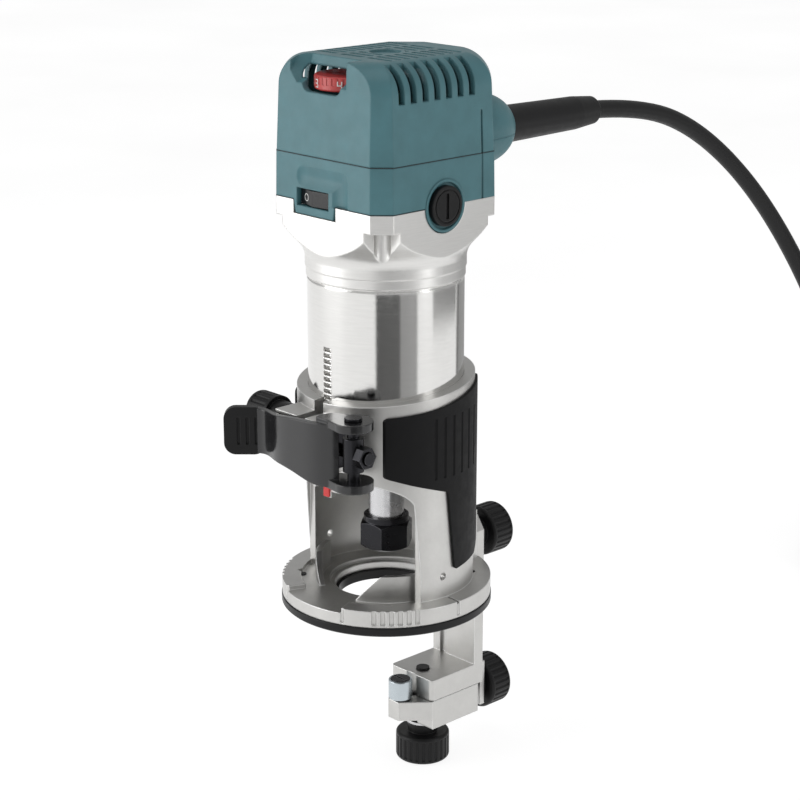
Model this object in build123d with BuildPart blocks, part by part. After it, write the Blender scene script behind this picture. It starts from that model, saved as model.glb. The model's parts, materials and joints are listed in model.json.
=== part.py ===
from build123d import *
import math
import os

# Trim router on its height-adjusting base, with a trimmer guide hanging below the sole.
# Millimetres. Origin at the centre of the sole, +Z up, the switch and clamp lever at -Y,
# the cord and the guide at +Y.

# ---------------------------------------------------------------- driving dimensions
MOTOR_R = 32.5            # polished motor cylinder
HALF = 34.5               # half width of the square motor head
SCREW_AT = 37.6           # long screws in the head's corners, from the axis
SCREW_SEAT = 172.2        # their heads' seat, up inside each corner pocket
CORNER = 6.5              # chamfer on the head's upright corners
MOTOR_FOOT = 66.0         # lower end of the motor cylinder, height set as drawn
SHOULDER_Z = 147.5        # where the cylinder meets the shoulder ring
PART_Z = 176.2            # joint between aluminium housing and plastic collar
SEAM_Z = 194.6            # joint between collar and top cover
TOP_Z = 233.6             # top of the cover
WALL = 2.6                # plastic wall
COLLAR_DRAFT = 1.1
COVER_DRAFT = 2.5
COVER_FILLET = 12.5
BRUSH_BOSS_R = 10.7

BASE_R = 45.0             # sole and flange
BARREL_R = 37.2           # outside of the clamp barrel
BORE_R = 32.57            # clamp bore, a sliding fit on the motor
FLOOR_Z = 9.0             # upper face of the flange's floor
PLATE_H = 4.0             # black sole plate
BARREL_Z = 64.0           # lower edge of the clamp barrel
RIM_Z = 99.2              # rim height at the centre, before its tilt
RIM_TILT = 5.8            # degrees, lower at the front
OPENING_R = 22.0          # cutter opening in the floor
SOLE_SCREW_RING = 36.4
SOLE_SCREW_TURNS = (48, 138, -48, -138)
EAR_LOW, EAR_HIGH = 70.4, 91
EAR_FRONT = -47.0
SLIT_LEFT, SLIT_RIGHT = -3.0, 2.4

RACK_PITCH = 0.8 * math.pi
PINION_Y = -35.7
PINION_Z = 83.5
PINION_TEETH = 10
RACK_BELOW = 6            # rack spaces below the pinion
RACK_ABOVE = 13           # rack spaces above it
KNOB_R = 8.0              # height knob
KNOB_NECK_R = 6.2

BOLT_Y = -43.4
BOLT_Z = 81.0
LEVER_X = 27.5            # lever pivot, on the bolt's line
LEVER_LOW = 66.5
LEVER_HIGH = 95.0

SPINDLE_R = 7.5
SPINDLE_NOSE = 35.0       # lower end of the spindle
NUT_LOW = 23.7
COLLET_R = 3.0            # bore for a 6 mm shank
COLLET_LOW = 25.5
COLLET_HIGH = 51.3
COMMUTATOR_Z = 176.0
STATOR_LOW, STATOR_HIGH = 104, 148
RETAINER_RING = 20.0      # ring of the bearing retainer's screws
LOWER_BEARING = ((0, 0, 70.1), (0, 0, 78.9))
UPPER_BEARING = ((0, 0, 187.7), (0, 0, 194.3))

CORD_Z = 196.6
CORD_R = 4.0
BOSS_END = 66.0           # rear end of the cord boss
GUARD_END = 126.0
CLAMP_X = 6.2             # cord clamp's screws
CLAMP_Y = 32.0

BAR_FRONT = 41.2          # front face of the guide's upright bar
BAR_BACK = 46.5
BAR_HALF = 13.0
SHELF_Z = -40.8           # top of the guide's shelf
SLIDE_Z = -50.5           # joint between shelf and sliding holder
HOLDER_LOW = -64.0
GUIDE_SCREW_Z = 15.5
FEED_Z = -58.0
LOCK_Y = 22.0             # slide-clamp screw
ROLLER_Y = 8.3
GUIDE_SCREW_R = 3.0
GUIDE_HOLE_R = 3.05
KNOB_COLLAR_R = 6.6
KNOB_RECESS_R = 6.4
WASHER_R, WASHER_HOLE_R = 7.6, 3.1
BENCH_Z = -82.5           # lowest point of the guide, and the level the cord lies on

COIL_X = 11.0
COIL_Y = 385.0
COIL_TURNS = (36.0, 44.0, 52.0)
TIE_T = 0.8

# free cord from the guard down to the coil, then from the coil to the plug
CORD_ROUTE = [
    (0, GUARD_END, 196.6),
    (0, 159, 194.5),
    (4, 194, 181),
    (13, 225, 153),
    (24, 251, 113),
    (35, 271, 66),
    (45, 287, 22),
    (52, 301, -18),
    (51, 314, -51),
    (37, 325, -72.5),
    (11, 332, -77.5),
]
TAIL_ROUTE = [
    (6, 333, -69.5),
    (-6, 334, -68),
    (-21, 342, -63.5),
    (-30, 355, -60),
    (-33, 372, -57.7),
    (-33, 390, -57.7),
]

os.makedirs("parts", exist_ok=True)


# ---------------------------------------------------------------- helpers
def keep(builder, name):
    """Labels a finished sub-part and writes its STEP file."""
    builder.part.label = name
    export_step(builder.part, f"parts/{name}.step")


def rod(start, end, radius):
    """A round bar between two points, as a part of its own."""
    with BuildPart() as bar:
        with BuildSketch(Plane(origin=start, z_dir=Vector(*end) - Vector(*start))):
            Circle(radius)
        extrude(amount=(Vector(*end) - Vector(*start)).length)
    return bar.part


def tube(start, end, outer, inner):
    """A round sleeve between two points, as a part of its own."""
    with BuildPart() as sleeve:
        add(rod(start, end, outer))
        add(rod(start, end, inner), mode=Mode.SUBTRACT)
    return sleeve.part


def block(low, high):
    """A rectangular block between two opposite corners, as a part of its own."""
    with BuildPart() as body:
        with BuildSketch(Plane.XY.offset(low[2])):
            with Locations(((low[0] + high[0]) / 2, (low[1] + high[1]) / 2)):
                Rectangle(high[0] - low[0], high[1] - low[1])
        extrude(amount=high[2] - low[2])
    return body.part


def head_form(low, high, half, draft):
    """The motor head's chamfered square, drawn at the low level and tapering upwards."""
    with BuildPart() as form:
        with BuildSketch(Plane.XY.offset(low)) as plan:
            Rectangle(2 * half, 2 * half)
            chamfer(plan.vertices(), CORNER)
        extrude(amount=high - low, taper=draft)
    return form.part


def sector(low, high, inner, outer, start, end):
    """A ring sector. Angles are degrees from the front (-Y), positive towards +X."""
    with BuildPart() as ring:
        with BuildSketch(Plane.XY.offset(low)):
            with BuildLine():
                a = CenterArc((0, 0), outer, start - 90, end - start)
                b = CenterArc((0, 0), inner, start - 90, end - start)
                Line(a @ 0, b @ 0)
                Line(a @ 1, b @ 1)
            make_face()
        extrude(amount=high - low)
    return ring.part


def around(angle, radius):
    """Point at an angle from the front, positive towards +X."""
    turn = math.radians(angle)
    return (radius * math.sin(turn), -radius * math.cos(turn))


def knob(plane, radius, height, flutes=26):
    """A fluted clamp knob with a rounded crown, standing on its plane."""
    with BuildPart() as grip:
        with BuildSketch(plane):
            Circle(radius)
        extrude(amount=height)
        crown = grip.edges().filter_by(GeomType.CIRCLE)
        fillet(crown, 1.4)
        with BuildSketch(plane.offset(1.6)):
            with PolarLocations(radius + 0.35, flutes):
                Circle(0.85)
        extrude(amount=height - 3.2, mode=Mode.SUBTRACT)
    return grip.part


# ---------------------------------------------------------------- motor housing (aluminium)
RACK_SPACES = [PINION_Z + k * RACK_PITCH for k in range(-RACK_BELOW, RACK_ABOVE + 1)]

head_block = head_form(SHOULDER_Z, PART_Z, HALF, 0)
CAVITY_HALF = HALF - 3.2
CAVITY_CORNER = 16.9      # leaves the corners solid for the long screws

with BuildPart() as head_cavity:
    with BuildSketch(Plane.XY.offset(158)) as plan:
        Rectangle(2 * CAVITY_HALF, 2 * CAVITY_HALF)
        chamfer(plan.vertices(), CAVITY_CORNER)
    extrude(amount=PART_Z - 158)

with BuildPart() as motor_housing:
    add(head_block)
    with BuildSketch(Plane.XZ):
        with BuildLine():
            Polyline((44.9, 168.5), (50, 169), (50, PART_Z), (0, PART_Z), (0, 143), (32.9, 143),
                     (32.9, SHOULDER_Z), (33.3, SHOULDER_Z), (33.3, 151.5))
            Spline((33.3, 151.5), (34.9, 156), (39.2, 161), (42.6, 165.5), (44.9, 168.5))
        make_face()
    revolve(axis=Axis.Z, mode=Mode.INTERSECT)
    with BuildSketch(Plane.XZ):
        with BuildLine():
            Polyline((0, MOTOR_FOOT), (MOTOR_R - 0.8, MOTOR_FOOT), (MOTOR_R, MOTOR_FOOT + 0.8),
                     (MOTOR_R, 142.2), (32.1, 142.6), (32.1, 143.2), (32.9, 143.6),
                     (32.9, SHOULDER_Z + 1), (0, SHOULDER_Z + 1), (0, MOTOR_FOOT))
        make_face()
    revolve(axis=Axis.Z)
    # motor bore, open towards the head
    add(rod((0, 0, 83), (0, 0, 160), 29.4), mode=Mode.SUBTRACT)
    add(head_cavity.part, mode=Mode.SUBTRACT)
    # bearing pocket, spindle hole and exhaust holes in the end wall
    add(rod((0, 0, 70), (0, 0, 79), 16.0), mode=Mode.SUBTRACT)
    add(rod((0, 0, 60), (0, 0, 70), 28.5), mode=Mode.SUBTRACT)
    add(rod((0, 0, 79), (0, 0, 84), 10.0), mode=Mode.SUBTRACT)
    with BuildSketch(Plane.XY.offset(69)):
        with PolarLocations(23.5, 8, start_angle=22.5):
            Circle(2.8)
    extrude(amount=15, mode=Mode.SUBTRACT)
    with BuildSketch(Plane.XY.offset(69)):
        with PolarLocations(RETAINER_RING, 3, start_angle=90):
            Circle(1.25)
    extrude(amount=8, mode=Mode.SUBTRACT)
    # corner pockets with a half-round channel for each long screw
    for turn in (45, 135, 225, 315):
        with BuildSketch(Plane.XY.offset(140).rotated((0, 0, turn))):
            with BuildLine():
                Polyline((34.3, 0), (46, 11.5), (46, -11.5), (34.3, 0))
            make_face()
            with Locations((SCREW_AT, 0)):
                Circle(3.2)
        extrude(amount=28.5, mode=Mode.SUBTRACT)
        with BuildSketch(Plane.XY.offset(168).rotated((0, 0, turn))):
            with Locations((SCREW_AT, 0)):
                Circle(3.2)
        extrude(amount=SCREW_SEAT - 168, mode=Mode.SUBTRACT)
        with BuildSketch(Plane.XY.offset(SCREW_SEAT).rotated((0, 0, turn))):
            with Locations((SCREW_AT, 0)):
                Circle(2.0)
        extrude(amount=PART_Z - SCREW_SEAT, mode=Mode.SUBTRACT)
    # half-round notches for the brush bosses, and the switch tab's notch
    add(rod((29, 0, PART_Z), (40, 0, PART_Z), BRUSH_BOSS_R + 0.3), mode=Mode.SUBTRACT)
    add(rod((-40, 0, PART_Z), (-29, 0, PART_Z), BRUSH_BOSS_R + 0.3), mode=Mode.SUBTRACT)
    add(block((-17.4, -36, 170.5), (7.9, -30, PART_Z)), mode=Mode.SUBTRACT)
    # rack cut into the front of the cylinder
    with BuildSketch(Plane.YZ.offset(-2.4)):
        for level in RACK_SPACES:
            with BuildLine():
                Polyline((-33.5, level - 1.15), (-30.7, level - 0.38), (-30.7, level + 0.38),
                         (-33.5, level + 1.15), (-33.5, level - 1.15))
            make_face()
    extrude(amount=4.5, mode=Mode.SUBTRACT)
keep(motor_housing, "motor_housing")

# ---------------------------------------------------------------- motor collar (plastic)
boss_right = rod((27, 0, PART_Z), (34.8, 0, PART_Z), BRUSH_BOSS_R)
boss_left = rod((-34.8, 0, PART_Z), (-27, 0, PART_Z), BRUSH_BOSS_R)
SCOOP_X, SCOOP_Y, SCOOP_Z = 10.6, -41.5, 186.2
SCOOP_R = 8.4
GROOVE_LINE = 20.6        # joint groove on the sides
collar_outer = head_form(PART_Z, SEAM_Z, HALF, COLLAR_DRAFT)
collar_inner = head_form(PART_Z, SEAM_Z, HALF - WALL, COLLAR_DRAFT)

cord_passage = rod((0, 20, CORD_Z), (0, BOSS_END - 18, CORD_Z), 11)

with BuildPart() as cord_boss:
    with BuildSketch(Plane.YZ):
        with BuildLine():
            Polyline((28, CORD_Z), (28, CORD_Z + 16.5), (46, CORD_Z + 16))
            Spline((46, CORD_Z + 16), (58, CORD_Z + 14.4), (63.2, CORD_Z + 12), (BOSS_END, CORD_Z + 9.5))
            Polyline((BOSS_END, CORD_Z + 9.5), (BOSS_END, CORD_Z), (28, CORD_Z))
        make_face()
    revolve(axis=Axis((0, 0, CORD_Z), (0, 1, 0)))
    add(cord_passage, mode=Mode.SUBTRACT)
    add(rod((0, BOSS_END - 19, CORD_Z), (0, BOSS_END + 1, CORD_Z), 8.25), mode=Mode.SUBTRACT)
    add(rod((0, BOSS_END - 14, CORD_Z), (0, BOSS_END - 9.8, CORD_Z), 9.7), mode=Mode.SUBTRACT)

with BuildPart() as motor_collar:
    add(collar_outer)
    add(collar_inner, mode=Mode.SUBTRACT)
    # brush bosses, bored for the brush holders
    add(boss_right)
    add(boss_left)
    # tab that carries the switch window over the aluminium
    with BuildSketch(Plane.XZ.offset(34.5)):
        with BuildLine():
            Polyline((-17, PART_Z), (-16, 170.9), (6.5, 170.9), (7.5, PART_Z), (-17, PART_Z))
        make_face()
    extrude(amount=-WALL)
    # bearing bridge
    add(block((-33, -9, 185), (33, 9, 187.4)))
    add(rod((0, 0, 185), (0, 0, 196), 14.2))
    add(cord_boss.part)
    add(cord_passage, mode=Mode.SUBTRACT)
    for x in (-CLAMP_X, CLAMP_X):
        add(rod((x, CLAMP_Y, 186), (x, CLAMP_Y, SEAM_Z - 0.2), 2.2))
        add(rod((x, CLAMP_Y, 188.5), (x, CLAMP_Y, SEAM_Z), 1.25), mode=Mode.SUBTRACT)
    add(block((-40, -40, SEAM_Z), (40, 90, 230)), mode=Mode.SUBTRACT)
    add(block((-20, 20, PART_Z - 20), (20, 90, PART_Z)), mode=Mode.SUBTRACT)
    add(rod((0, 0, 186.8), (0, 0, 197), 12.05), mode=Mode.SUBTRACT)
    add(rod((0, 0, 184), (0, 0, 187), 8), mode=Mode.SUBTRACT)
    add(rod((-40, 0, PART_Z), (-33.4, 0, PART_Z), 9.5), mode=Mode.SUBTRACT)
    add(rod((33.4, 0, PART_Z), (40, 0, PART_Z), 9.5), mode=Mode.SUBTRACT)
    add(rod((-40, 0, PART_Z), (40, 0, PART_Z), 7.6), mode=Mode.SUBTRACT)
    # switch window, with a finger scoop above and to the right of it
    add(block((-15.2, -36, 174.1), (3.8, -30, 181.3)), mode=Mode.SUBTRACT)
    with Locations((SCOOP_X, SCOOP_Y, SCOOP_Z), (-11, SCOOP_Y, SCOOP_Z)):
        Sphere(SCOOP_R, mode=Mode.SUBTRACT)
    add(rod((-11, SCOOP_Y, SCOOP_Z), (SCOOP_X, SCOOP_Y, SCOOP_Z), SCOOP_R), mode=Mode.SUBTRACT)
    add(rod((SCOOP_X, SCOOP_Y, 176), (SCOOP_X, SCOOP_Y, SCOOP_Z), SCOOP_R), mode=Mode.SUBTRACT)
    # shallow joint groove down each side
    for side in (-1, 1):
        low, high = sorted((side * (HALF - 0.7), side * (HALF + 1)))
        add(block((low, GROOVE_LINE, PART_Z), (high, GROOVE_LINE + 0.9, SEAM_Z)), mode=Mode.SUBTRACT)
keep(motor_collar, "motor_collar")


# ---------------------------------------------------------------- top cover (plastic)
def cover_form(inset):
    """The cover's rounded form, drawn in from the outside by the inset."""
    across_flats = HALF - 0.35 - inset
    across_corners = (2 * across_flats - CORNER) / math.sqrt(2)
    top = TOP_Z - inset
    lean = (TOP_Z - SEAM_Z) * math.tan(math.radians(COVER_DRAFT))
    with BuildPart() as form:
        add(head_form(SEAM_Z, TOP_Z, across_flats, COVER_DRAFT))
        for turn in (0, 45, 90, 135):
            half = across_corners if turn % 90 else across_flats
            with BuildSketch(Plane.XZ.rotated((0, 0, turn))) as side:
                with BuildLine():
                    Polyline((-half - 1, SEAM_Z), (-half, SEAM_Z), (-half + lean, top), (half - lean, top),
                             (half, SEAM_Z), (half + 1, SEAM_Z), (half + 1, 150), (-half - 1, 150),
                             (-half - 1, SEAM_Z))
                make_face()
                corners = side.vertices().group_by(Axis.Y)[-1]
                fillet(corners, COVER_FILLET - inset)
            extrude(amount=60, both=True, mode=Mode.INTERSECT)
    return form.part


cover_outer = cover_form(0)
cover_inner = cover_form(WALL)
DIAL_X = -1.5
DIAL_Y = -18.0
DIAL_LOW = 220.8
DIAL_R = 14.0
DIAL_WINDOW_Z = 223.6
DIAL_SCOOP_Y, DIAL_SCOOP_Z = -37.4, 235.4
DIAL_SCOOP_R = 13.2
SCOOP_LEFT, SCOOP_RIGHT = -16.0, 13.0
SLOT_PITCH = 6.37
SLOT_START = -22.3
ROW_PITCH = 4.75

with BuildPart() as top_cover:
    add(cover_outer)
    add(cover_inner, mode=Mode.SUBTRACT)
    add(cord_boss.part)
    add(cord_passage, mode=Mode.SUBTRACT)
    add(block((-40, -40, 170), (40, 90, SEAM_Z)), mode=Mode.SUBTRACT)
    add(head_form(SEAM_Z - 1, 214, HALF - WALL - 0.4, COVER_DRAFT), mode=Mode.SUBTRACT)
    # scoop over the speed dial, with rounded ends
    scoop_start = (SCOOP_LEFT, DIAL_SCOOP_Y, DIAL_SCOOP_Z)
    scoop_end = (SCOOP_RIGHT, DIAL_SCOOP_Y, DIAL_SCOOP_Z)
    add(rod(scoop_start, scoop_end, DIAL_SCOOP_R), mode=Mode.SUBTRACT)
    with BuildSketch(Plane.YZ.offset(SCOOP_LEFT)):
        with Locations((DIAL_SCOOP_Y, DIAL_SCOOP_Z)):
            Circle(DIAL_SCOOP_R)
    extrude(amount=-4, taper=45, mode=Mode.SUBTRACT)
    with BuildSketch(Plane.XZ.offset(20)):
        with Locations((DIAL_X, DIAL_WINDOW_Z)):
            SlotOverall(22.6, 7.4)
    extrude(amount=20, mode=Mode.SUBTRACT)
    for side in (-1, 1):
        low, high = sorted((side * (HALF - 1.9), side * (HALF + 1)))
        add(block((low, GROOVE_LINE, SEAM_Z), (high, GROOVE_LINE + 0.9, 212)), mode=Mode.SUBTRACT)
    # side slots over the right and left edges
    for k in range(7):
        y = SLOT_START + k * SLOT_PITCH
        for side in (-1, 1):
            with BuildSketch(Plane.XZ.offset(-y)):
                with Locations((side * 31.5, 226.5)):
                    Rectangle(13, 16.5)
            extrude(amount=1.6, both=True, mode=Mode.SUBTRACT)
    # rows of vents on the top, with a round blank boss in the middle
    with BuildSketch(Plane.XY.offset(TOP_Z - 5)):
        for k in range(9):
            y = -17.5 + k * ROW_PITCH
            with Locations((-15.5, y), (0, y), (15.5, y)):
                SlotOverall(13.2, 2.5)
        Circle(8.0, mode=Mode.SUBTRACT)
    extrude(amount=8, mode=Mode.SUBTRACT)
    add(rod((0, 0, TOP_Z - 0.9), (0, 0, TOP_Z + 1), 6.5), mode=Mode.SUBTRACT)
keep(top_cover, "top_cover")

# ---------------------------------------------------------------- switch and speed dial
SWITCH_X = -5.7
ROCKER_Y = -31.6

with BuildPart() as switch_rocker:
    with BuildSketch(Plane.XY.offset(174.5)):
        with BuildLine():
            Polyline((SWITCH_X - 9.0, -32.3), (SWITCH_X - 0.4, -34.4), (SWITCH_X + 0.4, -34.4),
                     (SWITCH_X + 9.0, -33.6), (SWITCH_X + 6.0, -30.2), (SWITCH_X - 6.0, -30.2),
                     (SWITCH_X - 9.0, -32.3))
        make_face()
    extrude(amount=6.4)
    add(rod((SWITCH_X, ROCKER_Y, 174.4), (SWITCH_X, ROCKER_Y, 180.9), 0.8), mode=Mode.SUBTRACT)
keep(switch_rocker, "switch_rocker")

with BuildPart() as switch_body:
    add(block((-15.8, -28.4, 172.0), (4.4, -19, 183.6)))
    add(rod((SWITCH_X, ROCKER_Y, 174.15), (SWITCH_X, ROCKER_Y, 180.9), 0.75))
    add(block((SWITCH_X - 1.2, -31.4, 173.2), (SWITCH_X + 1.2, -28.0, 174.3)))
    for x in (-12, SWITCH_X, 0.6):
        add(block((x - 0.4, -19.2, 175), (x + 0.4, -13.5, 181)))
keep(switch_body, "switch_body")

with BuildPart() as speed_dial:
    with BuildSketch(Plane.XY.offset(DIAL_LOW)):
        with Locations((DIAL_X, DIAL_Y)):
            Circle(DIAL_R)
    extrude(amount=5.8)
    fillet(speed_dial.edges().filter_by(GeomType.CIRCLE), 0.9)
    with BuildSketch(Plane.XY.offset(223.2)):
        with Locations((DIAL_X, DIAL_Y)):
            with PolarLocations(DIAL_R + 0.3, 36):
                Rectangle(1.0, 1.0)
    extrude(amount=4, mode=Mode.SUBTRACT)
    add(rod((DIAL_X, DIAL_Y, 215), (DIAL_X, DIAL_Y, DIAL_LOW + 0.2), 2.4))
keep(speed_dial, "speed_dial")

with BuildPart() as speed_controller:
    add(block((-24, -27, 206), (24, 12, 207.6)))
    add(tube((DIAL_X, DIAL_Y, 207.5), (DIAL_X, DIAL_Y, 219.8), 4.2, 2.46))
    add(block((-20, -2, 207.5), (-8, 9, 214)))
    add(block((12, -4, 207.5), (21, 9, 212)))
    add(rod((2, 4, 207.5), (2, 4, 217), 4.5))
keep(speed_controller, "speed_controller")

# ---------------------------------------------------------------- long screws
with BuildPart() as housing_screws:
    for turn in (45, 135, 225, 315):
        x, y = around(turn, SCREW_AT)
        add(rod((x, y, SCREW_SEAT - 2.9), (x, y, SCREW_SEAT), 3.0))
        add(rod((x, y, SCREW_SEAT - 0.1), (x, y, PART_Z - 0.2), 1.9))
        add(rod((x, y, SCREW_SEAT - 4), (x, y, SCREW_SEAT - 1.4), 1.3), mode=Mode.SUBTRACT)
keep(housing_screws, "housing_screws")

# ---------------------------------------------------------------- brush gear
with BuildPart() as brush_holders:
    for side in (-1, 1):
        add(tube((side * 18, 0, PART_Z), (side * 33.0, 0, PART_Z), 7.4, 5.9))
keep(brush_holders, "brush_holders")

with BuildPart() as carbon_brushes:
    for side in (-1, 1):
        low, high = sorted((side * 12.9, side * 25))
        add(block((low, -3.2, PART_Z - 4.0), (high, 3.2, PART_Z + 4.0)))
keep(carbon_brushes, "carbon_brushes")

with BuildPart() as brush_springs:
    for side in (-1, 1):
        for k in range(4):
            start = side * (25.3 + 1.6 * k)
            add(tube((start, 0, PART_Z), (start + side * 0.9, 0, PART_Z), 3.2, 2.2))
        spine = sorted((side * 25.3, side * 31.0))
        add(block((spine[0], -3.1, PART_Z - 0.4), (spine[1], -2.3, PART_Z + 0.4)))
keep(brush_springs, "brush_springs")

with BuildPart() as brush_caps:
    for side in (-1, 1):
        add(rod((side * 33.6, 0, PART_Z), (side * 36.0, 0, PART_Z), 8.2))
        add(rod((side * 31.4, 0, PART_Z), (side * 33.7, 0, PART_Z), 5.8))
    outer_rims = brush_caps.edges().filter_by(GeomType.CIRCLE).group_by(Axis.X)
    fillet(outer_rims[0] + outer_rims[-1], 0.5)
    for side in (-1, 1):
        add(tube((side * 35.5, 0, PART_Z), (side * 36.2, 0, PART_Z), 6.9, 6.2), mode=Mode.SUBTRACT)
        low, high = sorted((side * 35.0, side * 36.3))
        add(block((low, -0.8, PART_Z - 5.2), (high, 0.8, PART_Z + 5.2)), mode=Mode.SUBTRACT)
keep(brush_caps, "brush_caps")

# ---------------------------------------------------------------- field and armature
with BuildPart() as stator_core:
    add(tube((0, 0, STATOR_LOW), (0, 0, STATOR_HIGH), 29.3, 24.5))
    for turn in (0, 180):
        add(sector(STATOR_LOW, STATOR_HIGH, 19.6, 25, turn - 52, turn + 52))
keep(stator_core, "stator_core")

with BuildPart() as stator_coils:
    for low, high in ((97.5, 103.8), (148.2, 154.5)):
        for turn in (90, 270):
            add(sector(low, high, 20.2, 26.5, turn - 70, turn + 70))
    for turn in (90, 270):
        add(sector(97.5, 154.5, 20.2, 24.2, turn - 32, turn + 32))
keep(stator_coils, "stator_coils")

with BuildPart() as armature_core:
    add(tube((0, 0, 106), (0, 0, 147), 18.9, 4.8))
    with BuildSketch(Plane.XY.offset(105)):
        with PolarLocations(18.6, 12):
            Rectangle(2.4, 1.5)
    extrude(amount=43, mode=Mode.SUBTRACT)
keep(armature_core, "armature_core")

with BuildPart() as armature_windings:
    add(tube((0, 0, 98.5), (0, 0, 105.9), 16.5, 4.8))
    add(tube((0, 0, 147.1), (0, 0, 156), 16.5, 4.8))
    fillet(armature_windings.edges().filter_by(GeomType.CIRCLE).filter_by(lambda e: e.radius > 10), 2.0)
keep(armature_windings, "armature_windings")

with BuildPart() as commutator:
    add(tube((0, 0, COMMUTATOR_Z - 9), (0, 0, COMMUTATOR_Z + 8), 12.6, 4.6))
    add(tube((0, 0, COMMUTATOR_Z - 11), (0, 0, COMMUTATOR_Z - 9), 14.2, 4.6))
    with BuildSketch(Plane.XY.offset(COMMUTATOR_Z - 8)):
        with PolarLocations(12.6, 24):
            Rectangle(0.9, 0.5)
    extrude(amount=20, mode=Mode.SUBTRACT)
keep(commutator, "commutator")

with BuildPart() as spindle:
    with BuildSketch(Plane.XZ):
        with BuildLine():
            Polyline((0, SPINDLE_NOSE), (6.6, SPINDLE_NOSE), (SPINDLE_R, SPINDLE_NOSE + 0.8),
                     (SPINDLE_R, 81), (6.0, 81), (6.0, 96), (4.75, 96), (4.75, 160), (4.5, 160),
                     (4.5, 187.6), (4.0, 187.6), (4.0, 194.4), (0, 194.4), (0, SPINDLE_NOSE))
        make_face()
    revolve(axis=Axis.Z)
    # taper and bore for the collet
    with BuildSketch(Plane.XZ):
        with BuildLine():
            Polyline((0, SPINDLE_NOSE - 1), (5.2, SPINDLE_NOSE - 1), (4.3, 52), (3.2, 52), (3.2, 62),
                     (0, 62), (0, SPINDLE_NOSE - 1))
        make_face()
    revolve(axis=Axis.Z, mode=Mode.SUBTRACT)
keep(spindle, "spindle")

FAN_BLADES = 11

with BuildPart() as fan:
    add(tube((0, 0, 85), (0, 0, 93), 9.5, 6.05))
    add(tube((0, 0, 91.4), (0, 0, 93), 26.5, 9))
    for k in range(FAN_BLADES):
        turn = k * 360 / FAN_BLADES
        with BuildSketch(Plane.XY.offset(85).rotated((0, 0, turn))):
            with Locations((17.5, 0)):
                Rectangle(17.6, 1.2, rotation=24)
        extrude(amount=7)
keep(fan, "fan")

# ---------------------------------------------------------------- bearings
with BuildPart() as lower_bearing:
    add(tube(*LOWER_BEARING, 15.98, 13.2))
    add(tube(*LOWER_BEARING, 10.2, SPINDLE_R + 0.02))
    add(tube((0, 0, 71.0), (0, 0, 78.0), 13.3, 10.1))
keep(lower_bearing, "lower_bearing")

with BuildPart() as upper_bearing:
    add(tube(*UPPER_BEARING, 10.9, 8.9))
    add(tube(*UPPER_BEARING, 5.9, 4.02))
    add(tube((0, 0, 188.4), (0, 0, 193.6), 9.0, 5.8))
keep(upper_bearing, "upper_bearing")

with BuildPart() as bearing_boot:
    add(rod((0, 0, 186.9), (0, 0, 195.6), 12.0))
    add(rod((0, 0, 187.6), (0, 0, 194.6), 10.95), mode=Mode.SUBTRACT)
    add(rod((0, 0, 186), (0, 0, 188), 6.5), mode=Mode.SUBTRACT)
keep(bearing_boot, "bearing_boot")

with BuildPart() as bearing_retainer:
    add(tube((0, 0, 67.9), (0, 0, 69.9), 23.0, 8.4))
    with BuildSketch(Plane.XY.offset(66)):
        with PolarLocations(RETAINER_RING, 3, start_angle=90):
            Circle(1.5)
    extrude(amount=5, mode=Mode.SUBTRACT)
keep(bearing_retainer, "bearing_retainer")

with BuildPart() as retainer_screws:
    with BuildSketch(Plane.XY.offset(66.3)):
        with PolarLocations(RETAINER_RING, 3, start_angle=90):
            Circle(2.5)
    extrude(amount=1.5)
    with BuildSketch(Plane.XY.offset(67.7)):
        with PolarLocations(RETAINER_RING, 3, start_angle=90):
            Circle(1.2)
    extrude(amount=8)
    with BuildSketch(Plane.XY.offset(66.3)):
        with PolarLocations(RETAINER_RING, 3, start_angle=90):
            Rectangle(3.4, 0.7)
            Rectangle(0.7, 3.4)
    extrude(amount=0.8, mode=Mode.SUBTRACT)
keep(retainer_screws, "retainer_screws")

# ---------------------------------------------------------------- collet and nut
with BuildPart() as collet:
    with BuildSketch(Plane.XZ):
        with BuildLine():
            Polyline((COLLET_R, COLLET_LOW), (5.6, COLLET_LOW), (6.6, 28.0), (5.05, SPINDLE_NOSE + 0.2),
                     (4.2, COLLET_HIGH), (COLLET_R, COLLET_HIGH), (COLLET_R, COLLET_LOW))
        make_face()
    revolve(axis=Axis.Z)
    with BuildSketch(Plane.XY.offset(25)):
        for turn in (0, 60, 120):
            Rectangle(14, 0.6, rotation=turn)
    extrude(amount=20, mode=Mode.SUBTRACT)
keep(collet, "collet")

HEX_TURN = -54.0

with BuildPart() as collet_nut:
    with BuildSketch(Plane.XY.offset(NUT_LOW)):
        RegularPolygon(radius=11.6, side_count=6, rotation=HEX_TURN)
    extrude(amount=13)
    with BuildSketch(Plane.XZ):
        with BuildLine():
            Polyline((0, NUT_LOW), (9.0, NUT_LOW), (11.7, NUT_LOW + 1.6), (11.7, 34.4), (9.6, 35.8),
                     (9.6, 37.4), (8.8, 38.2), (0, 38.2), (0, NUT_LOW))
        make_face()
    revolve(axis=Axis.Z, mode=Mode.INTERSECT)
    with BuildSketch(Plane.XY.offset(35)):
        Circle(9.6)
    extrude(amount=3.0)
    with BuildSketch(Plane.XZ):
        with BuildLine():
            Polyline((0, 20), (5.8, 20), (5.8, 25.4), (6.75, 28.0), (6.75, 33.5), (SPINDLE_R + 0.05, 34.4),
                     (SPINDLE_R + 0.05, 40), (0, 40), (0, 20))
        make_face()
    revolve(axis=Axis.Z, mode=Mode.SUBTRACT)
keep(collet_nut, "collet_nut")

# ---------------------------------------------------------------- base casting
WINDOW_HALF = 35.3
SILL_HALF = 72.0
SILL_GAP = 22.0
GROOVE_ANGLES = (40.3, 45, 49.7, 54.4, 59.1, 63.8)   # between five grip ridges

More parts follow.
